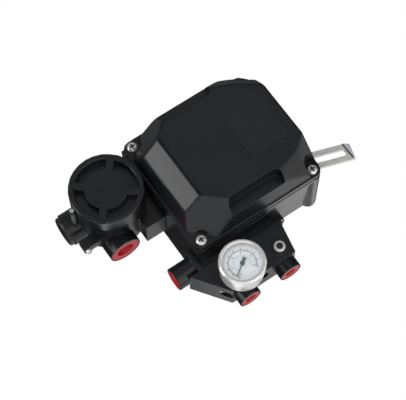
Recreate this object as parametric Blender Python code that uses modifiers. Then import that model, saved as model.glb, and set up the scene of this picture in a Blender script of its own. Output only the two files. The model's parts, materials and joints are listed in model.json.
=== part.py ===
"""Electro-pneumatic valve positioner: cast body with cover, screwed terminal box, air manifold with
gauge, feedback lever on the main shaft, and the force-balance mechanism inside.

Run with: blender --background --python part.py

Metres, +Z up, front towards -Y. The origin is the main shaft's axis at the body's mounting face.
"""

import math

import bmesh
import bpy
from mathutils import Euler, Matrix, Vector

MM = 0.001
GAP = 0.3 * MM           # between touching pieces
RUNNING = 0.05 * MM      # radial clearance of a running fit
DEEP = 10 * MM           # how far a cutter runs past the face that it opens

# Body casting
CENTRE_Z = -8 * MM       # middle of the casting below the main shaft
BODY_DEPTH = 56 * MM     # mounting face to parting face
BODY_LEFT = 64.5 * MM
BODY_RIGHT = 59 * MM
BODY_HALF_HEIGHT = 57 * MM
BODY_BOTTOM = CENTRE_Z - BODY_HALF_HEIGHT
DRAFT_RIGHT = 5.3 * MM   # what the walls lose towards the back
DRAFT_HEIGHT = 3 * MM
WALL = 4 * MM
BACK_WALL = 5 * MM
FLANGE_LIP = 1.5 * MM    # how far the flange stands out below and above
FLANGE_HALF_WIDTH = BODY_LEFT
FLANGE_HALF_HEIGHT = BODY_HALF_HEIGHT + FLANGE_LIP
FLANGE_THICK = 4 * MM
CORNER_RADIUS = 7.5 * MM
FAR_CORNER_RADIUS = 16 * MM    # upper right corner, where the screw sits further in
FAR_CORNER_TURN = 54.7         # degrees above +X
FAR_CORNER_CUT = 7.5 * MM      # what the body loses there

# Cover and its screws
SCREW_X = FLANGE_HALF_WIDTH - 8 * MM
SCREW_Z = FLANGE_HALF_HEIGHT - 6.9 * MM
FAR_SCREW_INSET = (3 * MM, 4 * MM)
COLUMN_RADIUS = 7.3 * MM
GASKET_THICK = 0.8 * MM
COVER_HEIGHT = 36 * MM
COVER_BACK = -BODY_DEPTH - GASKET_THICK - 2 * GAP / 3
COVER_FACE = COVER_BACK - COVER_HEIGHT
COVER_ROUND = 2.4 * MM
COVER_RIM = 4 * MM
COVER_WALL = 3 * MM
POCKET_RADIUS = 8 * MM
POCKET_SINK = 0.4 * MM   # how far a screw pocket goes into the rim
GRIP_DEPTH = 13 * MM     # face of the cover to the floor of a finger grip
GRIP_LOWER = (-27 * MM, 25 * MM, 43.5 * MM)   # left end, right end, distance from the middle
GRIP_UPPER = (-30 * MM, 20 * MM, 43 * MM)
GRIP_CORNER = 6 * MM
# Each sloping side of the cover: direction in degrees from +X, and how far it lies inside the flange's
# rectangle at the face and at the rim
COVER_SIDES = (
    (0, 4.5 * MM, 0.5 * MM),
    (180, 12.4 * MM, 0.5 * MM),
    (180, 22.5 * MM, -12.2 * MM),
    (90, 8.5 * MM, -6 * MM),
    (90, 2.4 * MM, 0.5 * MM),
    (270, 5.5 * MM, 0.7 * MM),
    (228, 36.2 * MM, 13.7 * MM),
    (132, 33.6 * MM, 11.1 * MM),
    (289.3, 22.5 * MM, -0.4 * MM),
    (308.1, 25 * MM, 3.7 * MM),
    (65.7, 27.7 * MM, -5.1 * MM),
    (65.7, 17.3 * MM, 12.2 * MM),
    (54.7, 30 * MM, -3 * MM),
    (54.7, 20.5 * MM, 16 * MM),
)
M5_RADIUS = 2.3 * MM
M5_HOLE = 2.6 * MM
M5_HEAD_RADIUS = 4.6 * MM
M5_HEAD_HEIGHT = 3.2 * MM
COVER_SCREW_LENGTH = 18 * MM
THIN_WALL_INSET = 1 * MM    # gasket's edge inside the flange's edge

# Mounting holes in the back
MOUNT_X = BODY_RIGHT - 21 * MM
MOUNT_Z = BODY_HALF_HEIGHT - 25 * MM
MOUNT_BOSS_RADIUS = 7.5 * MM
M8_TAPPED = 3.4 * MM
M8_DEPTH = 11 * MM

# Vent in the bottom wall
VENT_X = 15 * MM
VENT_Y = -17.5 * MM
VENT_END = BODY_BOTTOM - 5 * MM
VENT_BOSS_RADIUS = 8.5 * MM
VENT_BORE = 4.5 * MM
VENT_HEAD = 1.6 * MM
VENT_SHANK = 7 * MM

# Terminal box
TERMINAL_RADIUS = 31 * MM
TERMINAL_X = -BODY_LEFT - TERMINAL_RADIUS - 1.5 * MM
TERMINAL_Z = 20.7 * MM
TERMINAL_BACK = -11 * MM
TERMINAL_FRONT = 2 * MM - BODY_DEPTH
TERMINAL_DEPTH = TERMINAL_BACK - TERMINAL_FRONT
TERMINAL_BORE = 24.5 * MM
TERMINAL_FLOOR = 5 * MM
SPIGOT_RADIUS = 27.7 * MM
SPIGOT_LENGTH = 6.2 * MM
LID_RADIUS = 32 * MM
LID_HEIGHT = 16 * MM
LID_RING_WIDTH = 5 * MM
LID_HUB_RADIUS = 18.5 * MM
LID_HUB_DROP = 1.4 * MM
LID_SLOT_DEPTH = 7.5 * MM
LID_SPOKE_WIDTH = 6.7 * MM
LID_SPOKE_TURN = 50
LID_PITCH = 2 * MM
LID_TURNS = 3
O_RING_WIRE = 1 * MM
CONDUIT_RADIUS = 14.7 * MM
CONDUIT_BORE = 9.5 * MM
CONDUIT_RIM = 1 * MM     # rim of a boss round its plug
CONDUIT_Y = TERMINAL_BACK - 17.5 * MM
LEFT_CONDUIT_Z = TERMINAL_Z + 3.4 * MM
LEFT_CONDUIT_END = TERMINAL_X - 40.7 * MM
LOWER_CONDUIT_X = TERMINAL_X - 9.5 * MM
LOWER_CONDUIT_END = TERMINAL_Z - 40.2 * MM
BLANKING_HEAD = 4 * MM
NECK_LEFT = TERMINAL_X + 13 * MM
NECK_LOW = TERMINAL_Z - 38.7 * MM
NECK_HIGH = TERMINAL_Z + 21.3 * MM
NECK_FRONT = -42 * MM
NECK_BACK = -14 * MM
LUG_LEFT = TERMINAL_X - 41 * MM
LUG_RIGHT = TERMINAL_X - 12 * MM
LUG_LOW = TERMINAL_Z - 27.8 * MM
LUG_HIGH = TERMINAL_Z - 18.3 * MM
LUG_FRONT = TERMINAL_FRONT + 7 * MM
LUG_THICK = 8 * MM
GROUND_RADIUS = 1.9 * MM
GROUND_REACH = 3.2 * MM      # ground screw's axis from the lug's end
LOCK_RADIUS = 1.8 * MM
LOCK_WALL = 1.6 * MM
LOCK_HEIGHT = 12.5 * MM      # lock screw's boss beside the lid
LOCK_FOOT = 14 * MM
BLOCK_HALF = 16 * MM
BLOCK_WIDTH = 14 * MM
BLOCK_HEIGHT = 15 * MM
BLOCK_PITCH = 10 * MM
WIRE_BORE = 4 * MM

# Air manifold
PEDESTAL_LEFT = 0.5 * MM - BODY_LEFT
PEDESTAL_RIGHT = 8 * MM
PEDESTAL_FRONT = -42 * MM
PEDESTAL_BACK = -18 * MM
PEDESTAL_HEIGHT = 9 * MM
MANIFOLD_TOP = BODY_BOTTOM - PEDESTAL_HEIGHT
MANIFOLD_BOTTOM = MANIFOLD_TOP - 32.3 * MM
MANIFOLD_FRONT = PEDESTAL_FRONT - 2.5 * MM
MANIFOLD_BACK = PEDESTAL_BACK + 1 * MM
MANIFOLD_LEFT = -BODY_LEFT - 5.5 * MM
MANIFOLD_RIGHT = PEDESTAL_RIGHT + 4.3 * MM
MANIFOLD_SLOPE_X = -BODY_LEFT - 14.5 * MM      # where the sloping underside starts
MANIFOLD_FOOT = (-56.6 * MM, 6.5 * MM)         # ends of the flat underside
PORT_RADIUS = 10.3 * MM
PORT_BORE = 6.6 * MM
PORT_BORE_DEPTH = 14 * MM
PORT_RIM = 1 * MM        # rim of a port round its plug
PORT_Y = -32 * MM
PORT_LEFT_X = -45.3 * MM
PORT_RIGHT_X = -4.4 * MM
PORT_LOWER_END = MANIFOLD_BOTTOM - 9.7 * MM
SIDE_PORT_Z = MANIFOLD_TOP + 7.9 * MM
SIDE_PORT_END = -BODY_LEFT - 24 * MM
PASSAGE_RADIUS = 2.2 * MM
PLUG_FLANGE = 1.8 * MM
PLUG_SUNK = 0.2 * MM     # flange of a plug below the port's rim
PLUG_SEAT = PLUG_FLANGE + PLUG_SUNK + GAP
HEX_PLUG_X = -2.5 * MM
HEX_PLUG_Z = MANIFOLD_BOTTOM + 10.4 * MM
HEX_BOSS_HEIGHT = 0.8 * MM
MANIFOLD_SCREW_X = (-25 * MM, -59 * MM)

# Pressure gauge
GAUGE_X = -40.6 * MM
GAUGE_Z = MANIFOLD_BOTTOM + 10.6 * MM
GAUGE_FRONT = MANIFOLD_FRONT - 23.7 * MM
BEZEL_RADIUS = 20 * MM
BEZEL_DEPTH = 7.5 * MM
BEZEL_OPENING = 16.6 * MM
CASE_RADIUS = 18.8 * MM
CASE_WALL = 1.2 * MM
LENS_THICK = 1.5 * MM
DIAL_THICK = 0.6 * MM
STEM_RADIUS = 4.8 * MM
POINTER_TURN = 215

# Main shaft, lever and span arm
LEVER_TURN = 18.5        # degrees that the lever points below +X at rest
SHAFT_RADIUS = 5 * MM
BUSHING_RADIUS = 7 * MM
BUSHING_FLANGE = 9.5 * MM
BUSHING_FLANGE_THICK = 2.5 * MM
BUSHING_SUNK = 0.2 * MM
SHAFT_BOSS_RADIUS = 12 * MM
SHAFT_BOSS_LENGTH = 22 * MM
LEVER_BACK = 11.5 * MM
LEVER_THICK = 3 * MM
LEVER_WIDTH = 17 * MM
LEVER_REACH = 128 * MM
LEVER_SLOT = (40 * MM, 118 * MM, 6.4 * MM)    # start, end and width of the slot
SHAFT_THREAD = 4 * MM
NUT_FLATS = 13 * MM
NUT_HEIGHT = 5 * MM
MECHANISM_Y = -36 * MM   # plane of the span arm, the range spring and the balance beam
ARM_LENGTH = 24 * MM
ARM_THICK = 3 * MM

# Base plate and mechanism
PLATE_FRONT = -21 * MM
PLATE_THICK = 2.5 * MM
PLATE_LEFT = -MOUNT_X - 10 * MM
PLATE_RIGHT = MOUNT_X + 6 * MM
PLATE_HALF_HEIGHT = MOUNT_Z + 9 * MM
PLATE_SCREW_RADIUS = 1.4 * MM
BEAM_Z = 30 * MM
BEAM_HALF = 2 * MM
BEAM_PIVOT_X = 8 * MM
BEAM_LEFT = -41 * MM
COIL_X = 37 * MM
COIL_RADIUS = 8.5 * MM
COIL_INNER = 7 * MM
YOKE_RADIUS = 12 * MM
YOKE_GROOVE = (6 * MM, 9.5 * MM)
YOKE_HEIGHT = 20 * MM
NOZZLE_X = -36 * MM
NOZZLE_RADIUS = 2.5 * MM
NOZZLE_GAP = 1.2 * MM
ZERO_X = 17 * MM
ZERO_TAB_Z = 6 * MM
ZERO_SCREW_RADIUS = 2 * MM
ZERO_KNOB_RADIUS = 4.6 * MM
SPRING_RADIUS = 2.8 * MM
PILOT_LEFT = -38 * MM
PILOT_RIGHT = 12 * MM
PILOT_LOW = -50 * MM
PILOT_HIGH = -24 * MM
PILOT_BORE = 4.2 * MM
SPOOL_GAP = 0.1 * MM
SPOOL_LAND = 7.4 * MM
SPOOL_NECK = 5.9 * MM
CAP_THICK = 4 * MM

PARTS = bpy.data.collections.new("valve_positioner")
CUTTERS = bpy.data.collections.new("cutters")

# Colour, metallic and roughness of each material
MATERIALS = {
    "black_paint": ((0.018, 0.019, 0.020), 0.0, 0.42),
    "stainless": ((0.62, 0.61, 0.59), 1.0, 0.25),
    "zinc_steel": ((0.70, 0.70, 0.68), 1.0, 0.30),
    "brass": ((0.72, 0.52, 0.22), 1.0, 0.30),
    "aluminium": ((0.60, 0.61, 0.62), 1.0, 0.45),
    "dark_steel": ((0.12, 0.12, 0.13), 1.0, 0.45),
    "copper": ((0.70, 0.30, 0.14), 1.0, 0.35),
    "red_plastic": ((0.55, 0.03, 0.06), 0.0, 0.40),
    "black_plastic": ((0.02, 0.02, 0.02), 0.0, 0.35),
    "rubber": ((0.03, 0.03, 0.03), 0.0, 0.80),
    "glass": ((0.90, 0.93, 0.95), 0.0, 0.05),
    "dial_white": ((0.85, 0.88, 0.90), 0.0, 0.50),
}


def clear_scene():
    for old in list(bpy.data.objects):
        bpy.data.objects.remove(old, do_unlink=True)
    for collection in (PARTS, CUTTERS):
        bpy.context.scene.collection.children.link(collection)


def finish_of(name):
    material = bpy.data.materials.get(name)
    if material is None:
        colour, metallic, roughness = MATERIALS[name]
        material = bpy.data.materials.new(name)
        material.use_nodes = True
        shader = material.node_tree.nodes["Principled BSDF"]
        shader.inputs["Base Color"].default_value = (*colour, 1)
        shader.inputs["Metallic"].default_value = metallic
        shader.inputs["Roughness"].default_value = roughness
    return material


def add_object(name, data, location, rotation, material, parent):
    obj = bpy.data.objects.new(name, data)
    obj.location = location
    obj.rotation_euler = rotation
    obj.parent = parent
    if material is None:
        CUTTERS.objects.link(obj)
        obj.hide_render = True
        obj.display_type = "WIRE"
    else:
        PARTS.objects.link(obj)
        data.materials.append(finish_of(material))
    return obj


def mesh_from(name, bm):
    mesh = bpy.data.meshes.new(name)
    bm.to_mesh(mesh)
    bm.free()
    return mesh


def towards(direction):
    """Rotation that takes +Z to the direction."""
    return Vector(direction).to_track_quat("Z", "Y").to_euler()


def box(name, low, high, material=None, parent=None):
    low, high = Vector(low), Vector(high)
    bm = bmesh.new()
    bmesh.ops.create_cube(bm, size=1)
    bmesh.ops.scale(bm, vec=high - low, verts=bm.verts)
    return add_object(name, mesh_from(name, bm), (low + high) / 2, (0, 0, 0), material, parent)


def rod(name, start, end, radius, material=None, parent=None, end_radius=None, sides=16):
    start, end = Vector(start), Vector(end)
    bm = bmesh.new()
    bmesh.ops.create_cone(bm, cap_ends=True, segments=sides, radius1=radius,
                          radius2=radius if end_radius is None else end_radius,
                          depth=(end - start).length)
    return add_object(name, mesh_from(name, bm), (start + end) / 2, towards(end - start), material, parent)


def turned(name, profile, base, direction, material=None, parent=None, closed=False, steps=24):
    """Profile of (radius, height) points from the top inwards down the outer side, spun about the axis."""
    bm = bmesh.new()
    points = [bm.verts.new((radius, 0, height)) for radius, height in profile]
    for first, second in zip(points, points[1:] + points[:1]):
        if closed or second is not points[0]:
            bm.edges.new((first, second))
    obj = add_object(name, mesh_from(name, bm), base, towards(direction), material, parent)
    screw = obj.modifiers.new("turn", "SCREW")
    screw.steps = steps
    screw.render_steps = steps
    screw.use_merge_vertices = True
    screw.merge_threshold = 0.00001
    screw.use_smooth_shade = False
    return obj


def plate(name, outline, front, back, material=None, parent=None):
    """Flat outline of (x, z) points with its thickness along Y."""
    curve = bpy.data.curves.new(name, "CURVE")
    curve.dimensions = "2D"
    curve.fill_mode = "BOTH"
    curve.extrude = (back - front) / 2
    spline = curve.splines.new("POLY")
    spline.points.add(len(outline) - 1)
    for point, (x, z) in zip(spline.points, outline):
        point.co = (x, z, 0, 1)
    spline.use_cyclic_u = True
    source = bpy.data.objects.new(name + "_curve", curve)
    mesh = bpy.data.meshes.new_from_object(source)
    mesh.name = name
    bpy.data.objects.remove(source)
    bpy.data.curves.remove(curve)
    bm = bmesh.new()
    bm.from_mesh(mesh)
    bmesh.ops.remove_doubles(bm, verts=bm.verts, dist=0.00001)
    bm.to_mesh(mesh)
    bm.free()
    return add_object(name, mesh, (0, (front + back) / 2, 0), (math.pi / 2, 0, 0), material, parent)


def wire(name, points, radius, material, closed=False, parent=None, smooth=0):
    """Round wire or tube along the points."""
    curve = bpy.data.curves.new(name, "CURVE")
    curve.dimensions = "3D"
    curve.bevel_depth = radius
    curve.bevel_resolution = smooth
    curve.use_fill_caps = True
    spline = curve.splines.new("POLY")
    spline.points.add(len(points) - 1)
    for point, place in zip(spline.points, points):
        point.co = (*place, 1)
    spline.use_cyclic_u = closed
    return add_object(name, curve, (0, 0, 0), (0, 0, 0), material, parent)


def coil_points(x, y, low, high, radius, turns, per_turn=6):
    """Points of a helix about a vertical axis."""
    count = turns * per_turn
    points = []
    for step in range(count + 1):
        angle = 2 * math.pi * step / per_turn
        height = low + (high - low) * step / count
        points.append((x + radius * math.cos(angle), y + radius * math.sin(angle), height))
    return points


def combine(target, tools, operation):
    for tool in tools:
        change = target.modifiers.new(operation.lower(), "BOOLEAN")
        change.operation = operation
        change.solver = "EXACT"
        change.object = tool
    return target


def cut(target, *tools):
    return combine(target, tools, "DIFFERENCE")


def join(target, *tools):
    return combine(target, tools, "UNION")


def taper(obj, left=0, right=0, height=0):
    """Draws in the back end of a box."""
    deepest = max(vertex.co.y for vertex in obj.data.vertices)
    for vertex in obj.data.vertices:
        if vertex.co.y > deepest - GAP:
            vertex.co.x += left if vertex.co.x < 0 else -right
            vertex.co.z += height if vertex.co.z < 0 else -height
    return obj


def slice_off(obj, point, normal):
    """Cuts away an unturned block beyond the plane."""
    bm = bmesh.new()
    bm.from_mesh(obj.data)
    bmesh.ops.bisect_plane(bm, geom=bm.verts[:] + bm.edges[:] + bm.faces[:], dist=0.000001,
                           plane_co=point - obj.location, plane_no=normal, clear_outer=True)
    bmesh.ops.holes_fill(bm, edges=[edge for edge in bm.edges if edge.is_boundary])
    bm.to_mesh(obj.data)
    bm.free()


def rounded(left, right, low, high, radius, steps=3, far_radius=None):
    """Outline of a rectangle with round corners; the far radius is the upper right one's."""
    points = []
    corners = ((right, high, 0), (left, high, 90), (left, low, 180), (right, low, 270))
    for x, z, start in corners:
        bend = far_radius if far_radius and start == 0 else radius
        middle_x = x - math.copysign(bend, x - (left + right) / 2)
        middle_z = z - math.copysign(bend, z - (low + high) / 2)
        for step in range(steps + 1):
            angle = math.radians(start + 90 * step / steps)
            points.append((middle_x + bend * math.cos(angle), middle_z + bend * math.sin(angle)))
    return points


def flange_outline(inset=0):
    """Outline of the casting's flange, drawn in by the inset."""
    half_x, half_z = FLANGE_HALF_WIDTH - inset, FLANGE_HALF_HEIGHT - inset
    return rounded(-half_x, half_x, CENTRE_Z - half_z, CENTRE_Z + half_z, CORNER_RADIUS - inset,
                   far_radius=FAR_CORNER_RADIUS - inset)


def regular(sides, radius, x=0, z=0, turn=0):
    angles = [math.radians(turn + 360 * side / sides) for side in range(sides)]
    return [(x + radius * math.cos(angle), z + radius * math.sin(angle)) for angle in angles]


def corner_places(x, z):
    return [(side * x, CENTRE_Z + level * z) for side in (-1, 1) for level in (-1, 1)]


def cover_screw_places():
    """Four corners of the flange, the upper right one further in."""
    places = corner_places(SCREW_X, SCREW_Z)
    x, z = places[-1]
    places[-1] = (x - FAR_SCREW_INSET[0], z - FAR_SCREW_INSET[1])
    return places


def flange_reach(degrees):
    """Direction in the flange's plane and how far its rectangle reaches that way from the middle."""
    angle = math.radians(degrees)
    across = Vector((math.cos(angle), 0, math.sin(angle)))
    return across, abs(across.x) * FLANGE_HALF_WIDTH + abs(across.z) * FLANGE_HALF_HEIGHT


def add_axis(name, location, turn=0):
    """Empty on a joint's axis, which carries the pieces that move on it."""
    empty = bpy.data.objects.new(name, None)
    empty.location = location
    empty.rotation_euler = Euler((0, math.radians(turn), 0))
    empty.empty_display_size = 20 * MM
    PARTS.objects.link(empty)
    return empty


def carried_by(empty, *objects):
    """Parents pieces that stand in world coordinates to an unturned empty."""
    for obj in objects:
        obj.parent = empty
        obj.matrix_parent_inverse = Matrix.Translation(empty.location).inverted()


def add_body():
    parting = -BODY_DEPTH
    body = box("body_housing", (-BODY_LEFT, parting + FLANGE_THICK / 2, BODY_BOTTOM),
               (BODY_RIGHT, 0, CENTRE_Z + BODY_HALF_HEIGHT), "black_paint")
    taper(body, right=DRAFT_RIGHT, height=DRAFT_HEIGHT)
    across, reach = flange_reach(FAR_CORNER_TURN)
    slice_off(body, Vector((0, 0, CENTRE_Z)) + across * (reach - FAR_CORNER_CUT), across)
    flange = plate("body_flange", flange_outline(), parting, parting + FLANGE_THICK)
    pedestal = box("body_pedestal", (PEDESTAL_LEFT, PEDESTAL_FRONT, MANIFOLD_TOP),
                   (PEDESTAL_RIGHT, PEDESTAL_BACK, BODY_BOTTOM + 2 * WALL))
    vent = rod("body_vent_boss", (VENT_X, VENT_Y, VENT_END),
               (VENT_X, VENT_Y, BODY_BOTTOM + 2 * WALL), VENT_BOSS_RADIUS)
    join(body, flange, pedestal, vent)
    for number, (x, z) in enumerate(cover_screw_places(), 1):
        join(body, rod(f"body_column_{number}", (x, parting + 1 * MM, z), (x, -1 * MM, z), COLUMN_RADIUS,
                       sides=16))

    cavity = box("body_cavity", (-BODY_LEFT + WALL, parting - DEEP, BODY_BOTTOM + WALL),
                 (BODY_RIGHT - WALL, -BACK_WALL, CENTRE_Z + BODY_HALF_HEIGHT - WALL))
    taper(cavity, right=DRAFT_RIGHT, height=DRAFT_HEIGHT)
    for number, (x, z) in enumerate(cover_screw_places(), 1):
        cut(cavity, rod(f"cavity_column_{number}", (x, parting - 2 * DEEP, z), (x, DEEP, z),
                        COLUMN_RADIUS + 0.7 * MM, sides=16))
    cut(body, cavity)

    boss_front = PLATE_FRONT + PLATE_THICK + GAP
    for number, (x, z) in enumerate(corner_places(MOUNT_X, MOUNT_Z), 1):
        join(body, rod(f"body_boss_{number}", (x, boss_front, z), (x, -BACK_WALL / 2, z), MOUNT_BOSS_RADIUS,
                       sides=16))
    join(body, rod("body_shaft_boss", (0, -SHAFT_BOSS_LENGTH, 0), (0, -BACK_WALL / 2, 0), SHAFT_BOSS_RADIUS))

    for number, (x, z) in enumerate(corner_places(MOUNT_X, MOUNT_Z), 1):
        cut(body, rod(f"mount_hole_{number}", (x, -M8_DEPTH, z), (x, DEEP, z), M8_TAPPED, sides=16))
    for number, (x, z) in enumerate(cover_screw_places(), 1):
        cut(body, rod(f"cover_hole_{number}", (x, parting - DEEP, z),
                      (x, parting + COVER_SCREW_LENGTH, z), M5_HOLE, sides=12))
    for number, (x, z) in enumerate(plate_screw_places(), 1):
        cut(body, rod(f"plate_hole_{number}", (x, boss_front - DEEP, z), (x, boss_front + 6 * MM, z),
                      PLATE_SCREW_RADIUS + 0.2 * MM, sides=12))
    cut(body, rod("shaft_bore", (0, -SHAFT_BOSS_LENGTH - DEEP, 0), (0, DEEP, 0), BUSHING_RADIUS + 0.1 * MM,
                  sides=24),
        rod("bushing_seat", (0, -BUSHING_SUNK - BUSHING_FLANGE_THICK - GAP, 0), (0, DEEP, 0),
            BUSHING_FLANGE + GAP),
        rod("wire_bore_body", (-BODY_LEFT - DEEP, CONDUIT_Y, TERMINAL_Z),
            (-BODY_LEFT + DEEP, CONDUIT_Y, TERMINAL_Z), WIRE_BORE, sides=20),
        rod("vent_bore", (VENT_X, VENT_Y, VENT_END - DEEP),
            (VENT_X, VENT_Y, BODY_BOTTOM + 2 * DEEP), VENT_BORE, sides=16))
    for number, x in enumerate((PORT_LEFT_X, PORT_RIGHT_X), 1):
        cut(body, rod(f"body_passage_{number}", (x, PORT_Y, MANIFOLD_TOP - DEEP),
                      (x, PORT_Y, BODY_BOTTOM + 2 * DEEP), PASSAGE_RADIUS, sides=10))
    for number, x in enumerate(MANIFOLD_SCREW_X, 1):
        cut(body, rod(f"pedestal_hole_{number}", (x, PORT_Y, MANIFOLD_TOP - DEEP),
                      (x, PORT_Y, MANIFOLD_TOP + 9 * MM), M5_HOLE, sides=12))

    vent_plug = turned("vent_plug", ((0, VENT_HEAD), (VENT_BORE + 1 * MM, VENT_HEAD), (VENT_BORE + 1 * MM, 0),
                                     (VENT_BORE - GAP, 0), (VENT_BORE - GAP, -VENT_SHANK), (0, -VENT_SHANK)),
                       (VENT_X, VENT_Y, VENT_END - GAP), (0, 0, -1), "black_plastic", steps=16)
    return body, vent_plug


def plate_screw_places():
    """Two opposite corners of the base plate."""
    places = corner_places(MOUNT_X, MOUNT_Z)
    return places[1], places[2]


def cover_solid(name, inset, front, back, material=None):
    """Block cut down by the cover's sloping sides, each moved inwards by the inset."""
    size = 2 * BODY_LEFT
    block = box(name, (-size, front, CENTRE_Z - size), (size, back, CENTRE_Z + size), material)
    for degrees, face_drop, rim_drop in COVER_SIDES:
        across, reach = flange_reach(degrees)
        normal = (across * COVER_HEIGHT - Vector((0, face_drop - rim_drop, 0))).normalized()
        point = Vector((0, COVER_FACE, CENTRE_Z)) + across * (reach - face_drop)
        slice_off(block, point - normal * inset, normal)
    return block


def soften(block, radius):
    """Rounds a block's outer edges, apart from those of its open back."""
    bm = bmesh.new()
    bm.from_mesh(block.data)
    back = max(vertex.co.y for vertex in bm.verts)
    edges = [edge for edge in bm.edges if min(vertex.co.y for vertex in edge.verts) < back - GAP]
    bmesh.ops.bevel(bm, geom=edges, offset=radius, offset_type="OFFSET", segments=2, profile=0.5,
                    affect="EDGES", clamp_overlap=True)
    bm.to_mesh(block.data)
    bm.free()


def grip_outline(grip, sign, growth):
    """Outline of a finger grip, open towards the cover's edge."""
    left, right, distance = grip
    inner = CENTRE_Z + sign * (distance - growth)
    outer = CENTRE_Z + sign * 2 * BODY_LEFT
    return rounded(left - growth, right + growth, min(inner, outer), max(inner, outer), GRIP_CORNER + growth)


def add_cover():
    rim, face = COVER_BACK, COVER_FACE
    cover = cover_solid("cover", 0, face, rim - COVER_RIM / 2, "black_paint")
    soften(cover, COVER_ROUND)
    join(cover, plate("cover_rim", flange_outline(GAP), rim - COVER_RIM, rim))
    hollow = cover_solid("cover_hollow", COVER_WALL, face + COVER_WALL, rim + DEEP)
    grip_floor = face + GRIP_DEPTH
    screw_seat = rim - COVER_RIM + POCKET_SINK
    for name, grip, sign in (("lower", GRIP_LOWER, -1), ("upper", GRIP_UPPER, 1)):
        cut(hollow, plate(f"grip_wall_{name}", grip_outline(grip, sign, COVER_WALL), face - 2 * DEEP,
                          grip_floor + COVER_WALL))
    for number, (x, z) in enumerate(cover_screw_places(), 1):
        cut(hollow, rod(f"pocket_wall_{number}", (x, face - DEEP, z), (x, rim + 2 * DEEP, z),
                        POCKET_RADIUS + COVER_WALL))
    cut(cover, hollow)
    for name, grip, sign in (("lower", GRIP_LOWER, -1), ("upper", GRIP_UPPER, 1)):
        cut(cover, plate(f"grip_{name}", grip_outline(grip, sign, 0), face - DEEP, grip_floor))
    for number, (x, z) in enumerate(cover_screw_places(), 1):
        cut(cover, rod(f"pocket_{number}", (x, face - DEEP, z), (x, screw_seat, z), POCKET_RADIUS),
            rod(f"cover_screw_hole_{number}", (x, face - DEEP, z), (x, rim + DEEP, z), M5_HOLE + GAP, sides=12))

    gasket_back = -BODY_DEPTH - GAP / 3
    gasket = plate("cover_gasket", flange_outline(THIN_WALL_INSET), gasket_back - GASKET_THICK, gasket_back,
                   "rubber")
    half_x = FLANGE_HALF_WIDTH - 1.25 * WALL
    half_z = FLANGE_HALF_HEIGHT - 1.25 * WALL
    lobe = FLANGE_HALF_WIDTH - SCREW_X + M5_HEAD_RADIUS + 1.5 * MM
    far_lobe = lobe + sum(FAR_SCREW_INSET)
    opening = [(half_x, half_z - far_lobe), (half_x - far_lobe, half_z), (lobe - half_x, half_z),
               (-half_x, half_z - lobe), (-half_x, lobe - half_z), (lobe - half_x, -half_z),
               (half_x - lobe, -half_z), (half_x, lobe - half_z)]
    cut(gasket, plate("gasket_opening", [(x, CENTRE_Z + z) for x, z in opening],
                      gasket_back - DEEP, gasket_back + DEEP))
    screws = []
    for number, (x, z) in enumerate(cover_screw_places(), 1):
        cut(gasket, rod(f"gasket_hole_{number}", (x, gasket_back - DEEP, z), (x, gasket_back + DEEP, z),
                        M5_HOLE + GAP, sides=12))
        screws.append(pan_screw(f"cover_screw_{number}", (x, screw_seat - GAP, z), (0, -1, 0), M5_RADIUS,
                                M5_HEAD_RADIUS, M5_HEAD_HEIGHT, COVER_SCREW_LENGTH, "zinc_steel"))
    return cover, gasket, screws


def pan_screw(name, seat, direction, radius, head_radius, head_height, length, material):
    """Pan-head screw with a cross recess; the direction points out of the head."""
    screw = turned(name, ((0, head_height), (0.7 * head_radius, head_height), (head_radius, 0.5 * head_height),
                          (head_radius, 0), (radius, 0), (radius, -length), (0, -length)),
                   seat, direction, material, steps=10)
    seat, direction = Vector(seat), Vector(direction)
    blade = 0.16 * head_radius
    arm = 0.55 * head_radius
    for turn, sizes in enumerate(((arm, blade), (blade, arm))):
        slot = box(f"{name}_slot_{turn}", (-sizes[0], -sizes[1], -0.5 * head_height),
                   (sizes[0], sizes[1], 0.5 * head_height))
        slot.location = seat + direction * head_height
        slot.rotation_euler = towards(direction)
        cut(screw, slot)
    return screw


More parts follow.
